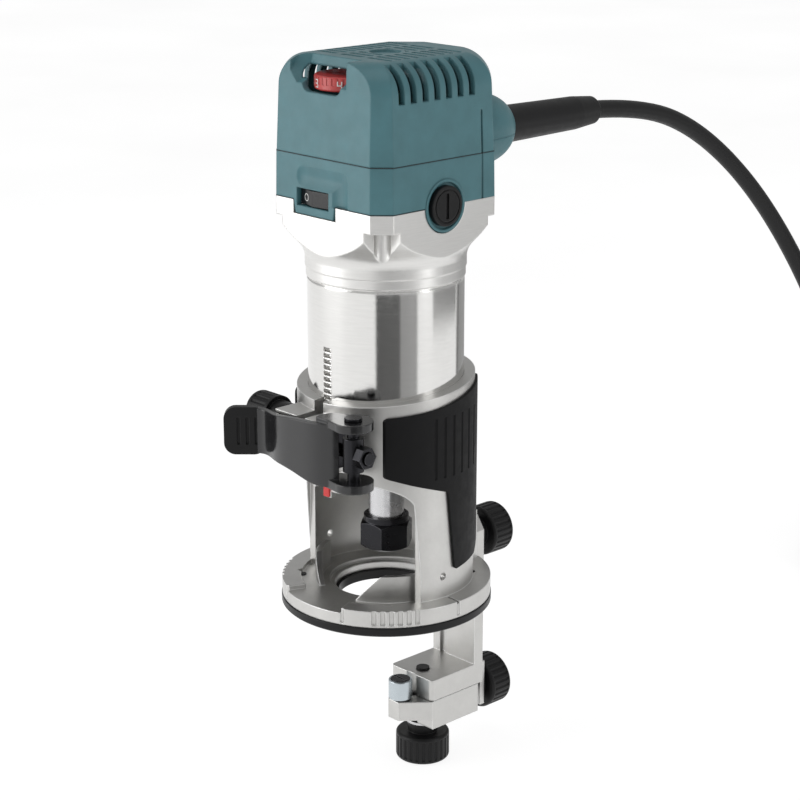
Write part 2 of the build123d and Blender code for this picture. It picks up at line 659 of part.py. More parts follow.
with BuildPart() as window_cut:
    with BuildSketch(Plane.XZ.offset(13.0)):
        with BuildLine():
            Polyline((-33.6, 54), (-WINDOW_HALF, FLOOR_Z), (WINDOW_HALF, FLOOR_Z), (33.6, 54))
            Spline((33.6, 54), (31.5, 58.2), (22, 63), (0, 65.5), (-22, 63), (-31.5, 58.2), (-33.6, 54))
        make_face()
    extrude(amount=40)

with BuildPart() as base_casting:
    # barrel, back wall and legs in one shell, cut to the slanted rim
    add(rod((0, 0, FLOOR_Z - 1), (0, 0, 105), BARREL_R))
    add(rod((0, 0, 0), (0, 0, BARREL_Z), 33.8), mode=Mode.SUBTRACT)
    add(window_cut.part, mode=Mode.SUBTRACT)
    # clamp ears
    add(block((-16, EAR_FRONT, EAR_LOW), (SLIT_LEFT, -30, EAR_HIGH)))
    add(block((SLIT_RIGHT, EAR_FRONT, EAR_LOW), (17, -30, EAR_HIGH)))
    add(sector(58, BARREL_Z + 2, 34.2, BARREL_R, -7, 18))
    add(sector(55.4, BARREL_Z, 34.2, BARREL_R, 3, 9.6))
    # flange with its raised outer rim, floor and low sill walls
    add(rod((0, 0, PLATE_H), (0, 0, FLOOR_Z), BASE_R - 0.3))
    add(sector(FLOOR_Z - 0.5, 11, 36.6, BASE_R - 0.3, SILL_GAP, 360 - SILL_GAP))
    # flat pad for the guide's bar
    add(block((-14, 33, PLATE_H), (14, BAR_FRONT - 0.2, 33)))
    add(rod((0, 0, FLOOR_Z), (0, 0, 110), BORE_R), mode=Mode.SUBTRACT)
    for side in (-1, 1):
        angles = sorted((side * SILL_GAP, side * SILL_HALF))
        add(sector(FLOOR_Z - 0.5, 20.5, 27.6, 30.2, angles[0], angles[1]))
    add(rod((0, 0, 0), (0, 0, FLOOR_Z + 1), OPENING_R), mode=Mode.SUBTRACT)
    with BuildSketch(Plane.XY.offset(7.2)):
        Circle(OPENING_R + 2.2)
    extrude(amount=3, mode=Mode.SUBTRACT)
    # slanted rim
    with BuildSketch(Plane.YZ.offset(-60)):
        tilt = math.tan(math.radians(RIM_TILT))
        with BuildLine():
            Polyline((-60, RIM_Z - 60 * tilt), (60, RIM_Z + 60 * tilt), (60, 140), (-60, 140),
                     (-60, RIM_Z - 60 * tilt))
        make_face()
    extrude(amount=120, mode=Mode.SUBTRACT)
    # slit through barrel and ears
    add(block((SLIT_LEFT, -60, 55), (SLIT_RIGHT, -30, 110)), mode=Mode.SUBTRACT)
    # recess for the height knob and its neck
    add(rod((-30, PINION_Y, PINION_Z), (-16.1, PINION_Y, PINION_Z), KNOB_NECK_R + 0.4), mode=Mode.SUBTRACT)
    add(rod((-46, PINION_Y, PINION_Z), (-27.2, PINION_Y, PINION_Z), KNOB_R + 0.6), mode=Mode.SUBTRACT)
    # pinion bearing bore and clamp bolt hole
    add(rod((-20, PINION_Y, PINION_Z), (0, PINION_Y, PINION_Z), 2.65), mode=Mode.SUBTRACT)
    add(rod((-20, BOLT_Y, BOLT_Z), (20, BOLT_Y, BOLT_Z), 2.7), mode=Mode.SUBTRACT)
    add(rod((-20, BOLT_Y, BOLT_Z), (-11.5, BOLT_Y, BOLT_Z), 4.3), mode=Mode.SUBTRACT)
    # notch for the guide's bar, and the guide screw's thread
    add(block((-13.4, BAR_FRONT - 0.2, 0), (13.4, 60, 40)), mode=Mode.SUBTRACT)
    add(rod((0, 34.5, GUIDE_SCREW_Z), (0, 50, GUIDE_SCREW_Z), GUIDE_HOLE_R), mode=Mode.SUBTRACT)
    # grip ridges, rim notches and screw holes
    for side in (-1, 1):
        for turn in GROOVE_ANGLES:
            x, y = around(side * turn, BASE_R)
            add(rod((x, y, 4.8), (x, y, 12), 1.2), mode=Mode.SUBTRACT)
        for turn in (SILL_GAP + 0.6, 89.2):
            x, y = around(side * turn, BASE_R)
            add(rod((x, y, 4.8), (x, y, 12), 1.0), mode=Mode.SUBTRACT)
        rim_slot = sector(9.6, 12, 37.5, BASE_R + 1, 88.5, 89.9)
        add(rim_slot if side > 0 else mirror(rim_slot, about=Plane.YZ, mode=Mode.PRIVATE), mode=Mode.SUBTRACT)
        # slanted front end of the sill
        with BuildSketch(Plane.XZ.offset(15)):
            with BuildLine():
                Polyline((side * 9, 9.3), (side * 11, 9.3), (side * 20.5, 20.9), (side * 9, 20.9),
                         (side * 9, 9.3))
            make_face()
        extrude(amount=15.3, mode=Mode.SUBTRACT)
        add(rod((side * 30, -2.4, 20.3), (side * 40, -2.4, 20.3), 1.6), mode=Mode.SUBTRACT)
    for turn in SOLE_SCREW_TURNS:
        x, y = around(turn, SOLE_SCREW_RING)
        add(rod((x, y, 3), (x, y, 12), 1.8), mode=Mode.SUBTRACT)
keep(base_casting, "base_casting")

with BuildPart() as base_plate:
    add(tube((0, 0, 0), (0, 0, PLATE_H), BASE_R, 20.5))
    rims = base_plate.edges().filter_by(GeomType.CIRCLE).filter_by(lambda e: e.radius > 40)
    chamfer(rims, 0.6)
    add(block((-13.4, BAR_FRONT - 0.2, -1), (13.4, 60, 5)), mode=Mode.SUBTRACT)
    for turn in SOLE_SCREW_TURNS:
        x, y = around(turn, SOLE_SCREW_RING)
        add(rod((x, y, -1), (x, y, 5), 2.0), mode=Mode.SUBTRACT)
        add(rod((x, y, -1), (x, y, 1.9), 3.7), mode=Mode.SUBTRACT)
keep(base_plate, "base_plate")

with BuildPart() as base_plate_screws:
    for turn in SOLE_SCREW_TURNS:
        x, y = around(turn, SOLE_SCREW_RING)
        add(rod((x, y, 0.3), (x, y, 1.8), 3.6))
        add(rod((x, y, 1.7), (x, y, 9.4), 1.75))
        add(block((x - 2.2, y - 0.4, 0.2), (x + 2.2, y + 0.4, 1.0)), mode=Mode.SUBTRACT)
        add(block((x - 0.4, y - 2.2, 0.2), (x + 0.4, y + 2.2, 1.0)), mode=Mode.SUBTRACT)
keep(base_plate_screws, "base_plate_screws")

with BuildPart() as index_mark:
    add(sector(55.8, 60.2, BARREL_R + 0.02, BARREL_R + 0.8, 4.3, 8.8))
keep(index_mark, "index_mark")

# ---------------------------------------------------------------- rubber grips
GRIP_T = 1.1
GROOVE_TURNS = (79, 86, 93.5, 101.5, 110, 119)

with BuildPart() as grip_shell:
    add(tube((0, 0, 20), (0, 0, 102), BARREL_R + GRIP_T, BARREL_R + 0.05))
    for side in (-1, 1):
        for turn in GROOVE_TURNS:
            x, y = around(side * turn, BARREL_R + GRIP_T + 0.35)
            with BuildSketch(Plane.XY.offset(64)):
                with Locations((x, y)):
                    Circle(0.8)
            extrude(amount=26, mode=Mode.SUBTRACT)

with BuildPart() as grip_outline:
    with BuildSketch(Plane.YZ) as outline:
        with BuildLine():
            Polyline((-26.4, 91.6), (-8, 93.6), (18, 97.6), (31, 99.2), (33, 34), (21, 23.8), (3.4, 22.2),
                     (-0.8, 57.4), (-17.5, 63.0), (-26.4, 66.4), (-26.4, 91.6))
        make_face()
        fillet(outline.vertices(), 1.6)
    extrude(amount=50)

with BuildPart() as grip_right:
    add(grip_shell.part)
    add(grip_outline.part, mode=Mode.INTERSECT)
keep(grip_right, "grip_right")

with BuildPart() as grip_left:
    add(mirror(grip_right.part, about=Plane.YZ, mode=Mode.PRIVATE))
keep(grip_left, "grip_left")

# ---------------------------------------------------------------- height pinion and knob
with BuildPart() as height_pinion:
    with BuildSketch(Plane.YZ.offset(-2.2)):
        with Locations((PINION_Y, PINION_Z)):
            Circle(2.9)
        for k in range(PINION_TEETH):
            turn = 2 * math.pi * k / PINION_TEETH
            c, s = math.cos(turn), math.sin(turn)
            outline = ((2.0, -0.5), (4.0, -0.5), (4.7, -0.24), (4.7, 0.24), (4.0, 0.5), (2.0, 0.5))
            placed = [(PINION_Y + a * c - b * s, PINION_Z + a * s + b * c) for a, b in outline]
            with BuildLine():
                Polyline(*placed, placed[0])
            make_face()
    extrude(amount=4.0)
    add(rod((-36, PINION_Y, PINION_Z), (-2.0, PINION_Y, PINION_Z), 2.6))
keep(height_pinion, "height_pinion")

with BuildPart() as height_knob:
    with BuildSketch(Plane.YZ.offset(-17.2)):
        with Locations((PINION_Y, PINION_Z)):
            Circle(KNOB_NECK_R)
    extrude(amount=-11)
    with BuildSketch(Plane.YZ.offset(-27.5)):
        with Locations((PINION_Y, PINION_Z)):
            Circle(KNOB_R)
    extrude(amount=-13.5)
    fillet(height_knob.edges().filter_by(GeomType.CIRCLE).group_by(Axis.X)[0], 2.4)
    with BuildSketch(Plane.YZ.offset(-29)):
        with Locations((PINION_Y, PINION_Z)):
            with PolarLocations(KNOB_R + 0.4, 18):
                Circle(0.8)
    extrude(amount=-9, mode=Mode.SUBTRACT)
    add(rod((-36, PINION_Y, PINION_Z), (-16, PINION_Y, PINION_Z), 2.6), mode=Mode.SUBTRACT)
keep(height_knob, "height_knob")

# ---------------------------------------------------------------- clamp bolt, nut, pin and thrust washer
with BuildPart() as clamp_bolt:
    add(rod((-15.4, BOLT_Y, BOLT_Z), (-11.6, BOLT_Y, BOLT_Z), 4.2))
    add(rod((-11.7, BOLT_Y, BOLT_Z), (37.0, BOLT_Y, BOLT_Z), 2.5))
    with BuildSketch(Plane.YZ.offset(-15.5)):
        with Locations((BOLT_Y, BOLT_Z)):
            RegularPolygon(radius=2.3, side_count=6)
    extrude(amount=2.5, mode=Mode.SUBTRACT)
keep(clamp_bolt, "clamp_bolt")

with BuildPart() as clamp_nut:
    with BuildSketch(Plane.YZ.offset(LEVER_X + 4.5)):
        with Locations((BOLT_Y, BOLT_Z)):
            RegularPolygon(radius=4.62, side_count=6)
            Circle(2.52, mode=Mode.SUBTRACT)
    extrude(amount=4.0)
    hole_rims = clamp_nut.edges().filter_by(GeomType.CIRCLE)
    chamfer(hole_rims, 0.4)
keep(clamp_nut, "clamp_nut")

with BuildPart() as lever_pin:
    add(rod((LEVER_X, BOLT_Y, LEVER_LOW - 0.8), (LEVER_X, BOLT_Y, LEVER_HIGH + 0.4), 2.5))
    add(rod((LEVER_X, BOLT_Y, 74), (LEVER_X, BOLT_Y, 88), 4.3))
    add(rod((LEVER_X, BOLT_Y, LEVER_HIGH + 0.2), (LEVER_X, BOLT_Y, LEVER_HIGH + 1.4), 3.6))
    add(rod((LEVER_X - 8, BOLT_Y, BOLT_Z), (LEVER_X + 8, BOLT_Y, BOLT_Z), 2.52), mode=Mode.SUBTRACT)
keep(lever_pin, "lever_pin")

with BuildPart() as clamp_washer:
    add(block((17.05, EAR_FRONT, 73), (19.0, -38.8, 89)))
    add(rod((10, BOLT_Y, BOLT_Z), (25, BOLT_Y, BOLT_Z), 2.6), mode=Mode.SUBTRACT)
keep(clamp_washer, "clamp_washer")

# ---------------------------------------------------------------- clamp lever
LEVER_PATH = [(22.6, -46.8), (17.5, -50.6), (4, -52.4), (-10, -51.4), (-20, -49.0), (-23.5, -50.2)]
LEVER_T = 2.4
LOBE_R = 8.1

with BuildPart() as lever_height:
    with BuildSketch(Plane.XZ.offset(30)):
        with BuildLine():
            Spline((-24, 90.6), (-14, 90.2), (-4, 91.6), (10, 92.8), (23, 93.2))
            Polyline((23, 93.2), (42, 93.2), (42, 67.0), (22, 67.0))
            Spline((22, 67.0), (12, 67.6), (0, 70.2), (-14, 71.2), (-24, 71.0))
            Line((-24, 71.0), (-24, 90.6))
        make_face()
    extrude(amount=30)

with BuildPart() as clamp_lever:
    with BuildSketch(Plane.XY.offset(60)):
        with BuildLine():
            Spline(*LEVER_PATH)
        trace(line_width=LEVER_T)
    extrude(amount=40)
    add(lever_height.part, mode=Mode.INTERSECT)
    # cam lobes above and below the pivot
    for low, high in ((LEVER_LOW, 70.0), (91.6, LEVER_HIGH)):
        with BuildSketch(Plane.XY.offset(low)):
            with Locations((LEVER_X, BOLT_Y)):
                Circle(LOBE_R)
            with BuildLine():
                Polyline((LEVER_X, BOLT_Y - LOBE_R), (LEVER_X - 8, BOLT_Y - 7), (13.5, -50.6),
                         (12.4, -47.5), (14, -42.5), (22, -38.2), (LEVER_X, BOLT_Y),
                         (LEVER_X, BOLT_Y - LOBE_R))
            make_face()
        extrude(amount=high - low)
    add(rod((LEVER_X, BOLT_Y, 60), (LEVER_X, BOLT_Y, 100), 2.55), mode=Mode.SUBTRACT)
keep(clamp_lever, "clamp_lever")

TAB_PLANE = Plane(origin=(-22.2, -48.4, 80.6), x_dir=(0.69, 0.72, 0), z_dir=(0.72, -0.69, 0))

with BuildPart() as lever_grip:
    with BuildSketch(TAB_PLANE.offset(-2.0)):
        with Locations((-7.6, 0)):
            RectangleRounded(17.4, 20.4, 5.0)
    extrude(amount=3.4)
    with BuildSketch(TAB_PLANE.offset(1.4)):
        for x in (-10.2, -6.5, -2.8):
            with Locations((x, 0)):
                SlotOverall(12, 1.3, rotation=90)
    extrude(amount=-0.8, mode=Mode.SUBTRACT)
    add(clamp_lever.part, mode=Mode.SUBTRACT)
keep(lever_grip, "lever_grip")

# ---------------------------------------------------------------- trimmer guide
with BuildPart() as guide_bracket:
    # upright bar with an arched top and a long clamp slot
    with BuildSketch(Plane.XZ.offset(-BAR_BACK)):
        with BuildLine():
            Polyline((-BAR_HALF, SLIDE_Z), (-BAR_HALF, 22), (-9, 28), (9, 28), (BAR_HALF, 22),
                     (BAR_HALF, SLIDE_Z), (-BAR_HALF, SLIDE_Z))
        make_face()
        with Locations((0, -1)):
            SlotOverall(46, 7.0, rotation=90, mode=Mode.SUBTRACT)
    extrude(amount=BAR_BACK - BAR_FRONT)
    # shelf over the sliding holder, scooped round the roller
    add(block((-BAR_HALF, 15, SLIDE_Z), (BAR_HALF, BAR_BACK, SHELF_Z)))
    fillet(guide_bracket.edges().filter_by(Axis.Z).group_by(Axis.Y)[0], 2.0)
    add(rod((0, ROLLER_Y, SLIDE_Z - 1), (0, ROLLER_Y, SHELF_Z + 1), 7.4), mode=Mode.SUBTRACT)
    # shallow guide groove beside the slot
    add(block((-8.6, BAR_FRONT - 1, SHELF_Z), (-5.4, BAR_FRONT + 1.2, 26)), mode=Mode.SUBTRACT)
    # rear lug that holds the feed screw
    add(block((-8, BAR_BACK - 0.5, SLIDE_Z), (8, 53, -44)))
    add(block((-8, 50.5, -65), (8, 53, -44)))
    add(rod((0, 48, FEED_Z), (0, 56, FEED_Z), GUIDE_HOLE_R), mode=Mode.SUBTRACT)
    add(rod((0, LOCK_Y, SLIDE_Z - 1), (0, LOCK_Y, SHELF_Z + 1), GUIDE_HOLE_R), mode=Mode.SUBTRACT)
keep(guide_bracket, "guide_bracket")

with BuildPart() as guide_holder:
    with BuildSketch(Plane.XY.offset(HOLDER_LOW)):
        with BuildLine():
            Polyline((-BAR_HALF, 43.8), (-BAR_HALF, 15.5), (BAR_HALF, 15.5), (BAR_HALF, 43.8),
                     (-BAR_HALF, 43.8))
        make_face()
    extrude(amount=SLIDE_Z - 0.2 - HOLDER_LOW)
    # tongue that carries the roller
    with BuildSketch(Plane.XY.offset(HOLDER_LOW + 4.5)):
        with BuildLine():
            Polyline((-BAR_HALF, 17), (-BAR_HALF, 15.5), (-3.2, 4.0), (3.2, 4.0), (BAR_HALF, 15.5),
                     (BAR_HALF, 17), (-BAR_HALF, 17))
        make_face()
    extrude(amount=SLIDE_Z - 0.2 - HOLDER_LOW - 4.5)
    with BuildSketch(Plane.XY.offset(HOLDER_LOW - 1)):
        with Locations((0, LOCK_Y + 1.5)):
            SlotOverall(20.5, 6.8, rotation=90)
    extrude(amount=20, mode=Mode.SUBTRACT)
    add(rod((0, 30, FEED_Z), (0, 50, FEED_Z), GUIDE_HOLE_R), mode=Mode.SUBTRACT)
    add(rod((0, ROLLER_Y, HOLDER_LOW), (0, ROLLER_Y, SLIDE_Z + 1), 2.0), mode=Mode.SUBTRACT)
keep(guide_holder, "guide_holder")

with BuildPart() as guide_roller:
    add(tube((0, ROLLER_Y, -50.2), (0, ROLLER_Y, -41.4), 5.25, 2.05))
    rims = guide_roller.edges().filter_by(GeomType.CIRCLE).filter_by(lambda e: e.radius > 5)
    fillet(rims, 0.5)
    add(rod((0, ROLLER_Y, -43.0), (0, ROLLER_Y, -41), 4.4), mode=Mode.SUBTRACT)
keep(guide_roller, "guide_roller")

with BuildPart() as roller_screw:
    add(rod((0, ROLLER_Y, -59.2), (0, ROLLER_Y, -42.8), 1.97))
    add(rod((0, ROLLER_Y, -42.85), (0, ROLLER_Y, -41.2), 4.2))
    add(block((-4.5, ROLLER_Y - 0.5, -41.9), (4.5, ROLLER_Y + 0.5, -41)), mode=Mode.SUBTRACT)
keep(roller_screw, "roller_screw")

knob_a_head = knob(Plane(origin=(0, 55.5, GUIDE_SCREW_Z), x_dir=(1, 0, 0), z_dir=(0, 1, 0)), 11.2, 12.2)
feed_head = knob(Plane(origin=(0, 55.0, FEED_Z), x_dir=(1, 0, 0), z_dir=(0, 1, 0)), 11.8, 12.0)
lock_head = knob(Plane(origin=(0, LOCK_Y, -70.0), x_dir=(1, 0, 0), z_dir=(0, 0, -1)), 11.9, 12.5)

with BuildPart() as guide_clamp_knob:
    add(knob_a_head)
    add(rod((0, 47.9, GUIDE_SCREW_Z), (0, 56, GUIDE_SCREW_Z), KNOB_COLLAR_R))
    add(rod((0, 37.0, GUIDE_SCREW_Z), (0, 48, GUIDE_SCREW_Z), GUIDE_SCREW_R))
    add(rod((0, 65.8, GUIDE_SCREW_Z), (0, 70, GUIDE_SCREW_Z), KNOB_RECESS_R), mode=Mode.SUBTRACT)
keep(guide_clamp_knob, "guide_clamp_knob")

with BuildPart() as clamp_knob_washer:
    add(tube((0, BAR_BACK + 0.1, GUIDE_SCREW_Z), (0, 47.8, GUIDE_SCREW_Z), WASHER_R, WASHER_HOLE_R))
keep(clamp_knob_washer, "clamp_knob_washer")

with BuildPart() as guide_feed_knob:
    add(feed_head)
    add(rod((0, 53.15, FEED_Z), (0, 56, FEED_Z), KNOB_COLLAR_R))
    add(rod((0, 34, FEED_Z), (0, 54, FEED_Z), GUIDE_SCREW_R))
    add(rod((0, 65.1, FEED_Z), (0, 70, FEED_Z), KNOB_RECESS_R), mode=Mode.SUBTRACT)
keep(guide_feed_knob, "guide_feed_knob")

with BuildPart() as slide_clamp_knob:
    add(lock_head)
    add(rod((0, LOCK_Y, -70.5), (0, LOCK_Y, -65.4), KNOB_COLLAR_R))
    add(rod((0, LOCK_Y, -66), (0, LOCK_Y, SHELF_Z + 0.9), 2.9))
    add(rod((0, LOCK_Y, -84), (0, LOCK_Y, -80.6), KNOB_RECESS_R), mode=Mode.SUBTRACT)
keep(slide_clamp_knob, "slide_clamp_knob")

with BuildPart() as slide_clamp_washer:
    add(tube((0, LOCK_Y, -65.3), (0, LOCK_Y, HOLDER_LOW - 0.1), WASHER_R, WASHER_HOLE_R))
keep(slide_clamp_washer, "slide_clamp_washer")

# ---------------------------------------------------------------- power cord
GUARD_START = BOSS_END - 22
GROOVE_Y = BOSS_END - 13.7   # the guard's collar, held in the boss
CORD_START = 26.0            # the cord's end inside the housing

with BuildPart() as cord_guard:
    with BuildSketch(Plane.YZ):
        with BuildLine():
            Polyline((GUARD_START, CORD_Z), (GUARD_START, CORD_Z + 7.6), (GROOVE_Y, CORD_Z + 8.1),
                     (GROOVE_Y, CORD_Z + 9.4), (GROOVE_Y + 3.6, CORD_Z + 9.4), (GROOVE_Y + 3.6, CORD_Z + 8.1),
                     (BOSS_END, CORD_Z + 8.1), (112, CORD_Z + 7.3), (GUARD_END - 2, CORD_Z + 6.2),
                     (GUARD_END, CORD_Z + 4.8), (GUARD_END, CORD_Z), (GUARD_START, CORD_Z))
        make_face()
    revolve(axis=Axis((0, 0, CORD_Z), (0, 1, 0)))
    add(rod((0, GUARD_START - 1, CORD_Z), (0, GUARD_END + 1, CORD_Z), CORD_R + 0.05), mode=Mode.SUBTRACT)
keep(cord_guard, "cord_guard")


def run_radii(points):
    """Largest arc each corner's two runs allow: 0.45 of the shorter run over tan(half turn)."""
    radii = []
    for before, here, after in zip(points, points[1:], points[2:]):
        a = Vector(*here) - Vector(*before)
        b = Vector(*after) - Vector(*here)
        half_turn = math.radians(a.get_angle(b)) / 2
        radii.append(0.45 * min(a.length, b.length) / math.tan(half_turn))
    return radii


def cord_tube(points):
    """A plain tube along a route of straight runs joined by tangent arcs."""
    radii = run_radii(points)
    print("cord radii", [round(r) for r in radii])
    start = Vector(*points[0])
    with BuildPart() as flex:
        with BuildLine():
            path = FilletPolyline(*points, radius=radii)
        with BuildSketch(Plane(origin=start, z_dir=Vector(*points[1]) - start)):
            Circle(CORD_R)
        sweep()
    print("cord length", round(path.length, 1), "volume ratio",
          round(flex.part.volume / (path.length * math.pi * CORD_R ** 2), 4))
    return flex.part


hanging_cord = cord_tube(CORD_ROUTE)
tail_cord = cord_tube(TAIL_ROUTE)

with BuildPart() as power_cord:
    add(hanging_cord)
    add(rod((0, CORD_START, CORD_Z), (0, GUARD_END, CORD_Z), CORD_R))
    add(tail_cord)
keep(power_cord, "power_cord")

with BuildPart() as cord_clamp:
    add(block((-CLAMP_X - 2, CLAMP_Y - 4, CORD_Z + 4.1), (CLAMP_X + 2, CLAMP_Y + 4, CORD_Z + 6.1)))
    for x in (-CLAMP_X, CLAMP_X):
        add(rod((x, CLAMP_Y, SEAM_Z - 0.1), (x, CLAMP_Y, CORD_Z + 4.2), 2.1))
        add(rod((x, CLAMP_Y, SEAM_Z - 5), (x, CLAMP_Y, SEAM_Z), 1.2))
        add(rod((x, CLAMP_Y, CORD_Z + 6), (x, CLAMP_Y, CORD_Z + 7.1), 1.6))
keep(cord_clamp, "cord_clamp")

with BuildPart() as cord_coil:
    with BuildSketch(Plane.XY.offset(BENCH_Z + TIE_T + 0.2)):
        with Locations((COIL_X, COIL_Y)):
            Circle(COIL_TURNS[-1] + CORD_R)
            Circle(COIL_TURNS[0] - CORD_R, mode=Mode.SUBTRACT)
    extrude(amount=4 * CORD_R)
keep(cord_coil, "cord_coil")

with BuildPart() as cord_tie:
    low = BENCH_Z
    high = BENCH_Z + 2 * TIE_T + 4 * CORD_R + 0.4
    near = COIL_X + COIL_TURNS[0] - CORD_R - 0.9
    far = COIL_X + COIL_TURNS[-1] + CORD_R + 0.2
    add(block((near - TIE_T, COIL_Y - 6, low), (far + TIE_T, COIL_Y + 6, high)))
    add(block((near, COIL_Y - 7, low + TIE_T), (far, COIL_Y + 7, high - TIE_T)), mode=Mode.SUBTRACT)
keep(cord_tie, "cord_tie")

PLUG_X, PLUG_Y, PLUG_Z = TAIL_ROUTE[-1]
PIN_GAP = 19.0            # between the plug's two pins
PIN_R = 2.38
PLUG_HALF = 7.7           # half the plug's thickness
PLUG_DISC_R = 17.5

with BuildPart() as plug:
    with BuildSketch(Plane(origin=(PLUG_X, PLUG_Y, PLUG_Z), z_dir=(0, 1, 0))):
        Circle(CORD_R + 1.0)
    with BuildSketch(Plane(origin=(PLUG_X, PLUG_Y + 22, PLUG_Z), z_dir=(0, 1, 0))):
        Circle(7.2)
    loft()
    with BuildSketch(Plane(origin=(PLUG_X, PLUG_Y + 22, PLUG_Z), x_dir=(1, 0, 0), z_dir=(0, 1, 0))):
        RectangleRounded(26, 15, 7.0)
    extrude(amount=20)
    add(rod((PLUG_X, PLUG_Y + 41, PLUG_Z), (PLUG_X, PLUG_Y + 46, PLUG_Z), PLUG_DISC_R))
    for side in (-1, 1):
        edge = PLUG_Z + side * PLUG_HALF
        low, high = sorted((edge, edge + side * 22))
        add(block((PLUG_X - 20, PLUG_Y + 30, low), (PLUG_X + 20, PLUG_Y + 50, high)), mode=Mode.SUBTRACT)
        x = PLUG_X + side * PIN_GAP / 2
        add(rod((x, PLUG_Y + 36, PLUG_Z), (x, PLUG_Y + 50, PLUG_Z), PIN_R + 0.02), mode=Mode.SUBTRACT)
keep(plug, "plug")

with BuildPart() as plug_pins:
    for side in (-1, 1):
        x = PLUG_X + side * PIN_GAP / 2
        add(rod((x, PLUG_Y + 36.1, PLUG_Z), (x, PLUG_Y + 64.5, PLUG_Z), PIN_R))
    tips = plug_pins.edges().filter_by(GeomType.CIRCLE).group_by(Axis.Y)[-1]
    fillet(tips, 1.4)
keep(plug_pins, "plug_pins")
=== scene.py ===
import bpy
import bmesh
import json
import math
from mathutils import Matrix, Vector


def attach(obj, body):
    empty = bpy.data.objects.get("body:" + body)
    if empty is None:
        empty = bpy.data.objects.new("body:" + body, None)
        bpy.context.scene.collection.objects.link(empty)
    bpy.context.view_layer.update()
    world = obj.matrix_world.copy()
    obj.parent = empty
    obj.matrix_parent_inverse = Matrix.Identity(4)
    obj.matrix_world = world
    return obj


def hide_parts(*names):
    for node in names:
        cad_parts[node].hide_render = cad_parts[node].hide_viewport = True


# Trim router: camera and cord first, then materials, floor and light, and the added detail.
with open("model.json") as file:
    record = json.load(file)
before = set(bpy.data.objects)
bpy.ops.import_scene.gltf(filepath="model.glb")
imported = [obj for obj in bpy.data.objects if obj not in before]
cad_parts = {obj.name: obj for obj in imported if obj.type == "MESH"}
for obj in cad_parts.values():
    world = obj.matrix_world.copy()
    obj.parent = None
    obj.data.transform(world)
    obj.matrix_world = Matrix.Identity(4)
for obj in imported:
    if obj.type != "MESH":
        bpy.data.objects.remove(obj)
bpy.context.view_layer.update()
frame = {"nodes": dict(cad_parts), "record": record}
nodes = frame["nodes"]
scene = bpy.context.scene
scene.view_settings.view_transform = "Standard"
MM = 0.001
BENCH = -0.0825            # the guide's lowest point, and the level the cord lies on
SATIN_ABOVE = 0.1420      # the motor's casting is polished below this height and satin above
FLOOR_HALF = 6
CAMERA_TURN = 47          # the camera's angle round the object, in degrees

FLOOR_GLOW = 0.88
WORLD_LIGHT = 0.46
LEFT_POWER, RIGHT_POWER, TOP_POWER = 9.0, 2.0, 3.0

# ---------------------------------------------------------------- camera
camera_data = bpy.data.cameras.new("camera")
camera_data.lens = 93.95
camera_data.sensor_width = 36.0
camera_data.clip_end = 50.0
camera = bpy.data.objects.new("camera", camera_data)
camera.location = (0.6119, -0.5706, 0.3436)
camera.rotation_euler = (math.radians(90 - 16.97), 0, math.radians(46.60))
scene.collection.objects.link(camera)
scene.camera = camera

# ---------------------------------------------------------------- power cord
CORD_R = 0.004
COIL_X, COIL_Y = 0.011, 0.385
LOW_TURN, HIGH_TURN = -0.0775, -0.0695
POINTS_PER_TURN = 16
SPLINE_PULL = 1.0194      # a spline of this order runs this much inside its control circle

CORD_ROUTE = [
    (0, 126, 196.6), (0, 159, 194.5), (4, 194, 181), (13, 225, 153), (24, 251, 113), (35, 271, 66),
    (45, 287, 22), (52, 301, -18), (51, 314, -51), (37, 325, -72.5),
]
TAIL_ROUTE = [
    (11, 333, -69.5), (-6, 334, -68), (-21, 342, -63.5), (-30, 355, -60), (-33, 372, -57.7),
    (-33, 390, -57.7),
]
# each turn: radius at its start and end, the share of the turn over which it changes, and its rise
COIL_TURNS = [
    (0.052, 0.044, 0.60, 1.00, LOW_TURN, LOW_TURN),
    (0.044, 0.036, 0.60, 1.00, LOW_TURN, LOW_TURN),
    (0.036, 0.036, 0.25, 0.50, LOW_TURN, HIGH_TURN),
    (0.036, 0.044, 0.00, 0.25, HIGH_TURN, HIGH_TURN),
    (0.044, 0.052, 0.00, 0.25, HIGH_TURN, HIGH_TURN),
]


def coil_points():
    """Three flat turns winding inwards on the bench, then two winding outwards on top of them."""
    points = []
    for first, last, start, end, low, high in COIL_TURNS:
        for k in range(POINTS_PER_TURN):
            share = k / POINTS_PER_TURN
            ease = min(1.0, max(0.0, (share - start) / (end - start)))
            ease = ease * ease * (3 - 2 * ease)
            r = (first + (last - first) * ease) * SPLINE_PULL
            angle = -math.pi / 2 - share * 2 * math.pi
            points.append((COIL_X + r * math.cos(angle), COIL_Y + r * math.sin(angle),
                           low + (high - low) * ease))
    return points


def curve_object(name, points, radius):
    """A round cord along one spline whose control points are given in metres."""
    data = bpy.data.curves.new(name, "CURVE")
    data.dimensions = "3D"
    data.bevel_depth = 1.0    # the radius is on the points, because the bounds grow by a point's radius
    data.bevel_resolution = 5
    data.use_fill_caps = True
    data.resolution_u = 10
    spline = data.splines.new("NURBS")
    spline.points.add(len(points) - 1)
    for point, place in zip(spline.points, points):
        point.co = (*place, 1)
        point.radius = radius
    spline.order_u = 3
    spline.use_endpoint_u = True
    obj = bpy.data.objects.new(name, data)
    scene.collection.objects.link(obj)
    return obj


hanging = [tuple(MM * c for c in p) for p in CORD_ROUTE]
tail = [tuple(MM * c for c in p) for p in TAIL_ROUTE]
cord = curve_object("mains_cord", hanging + coil_points() + tail, CORD_R)
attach(cord, "motor")
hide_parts("power_cord", "cord_coil")


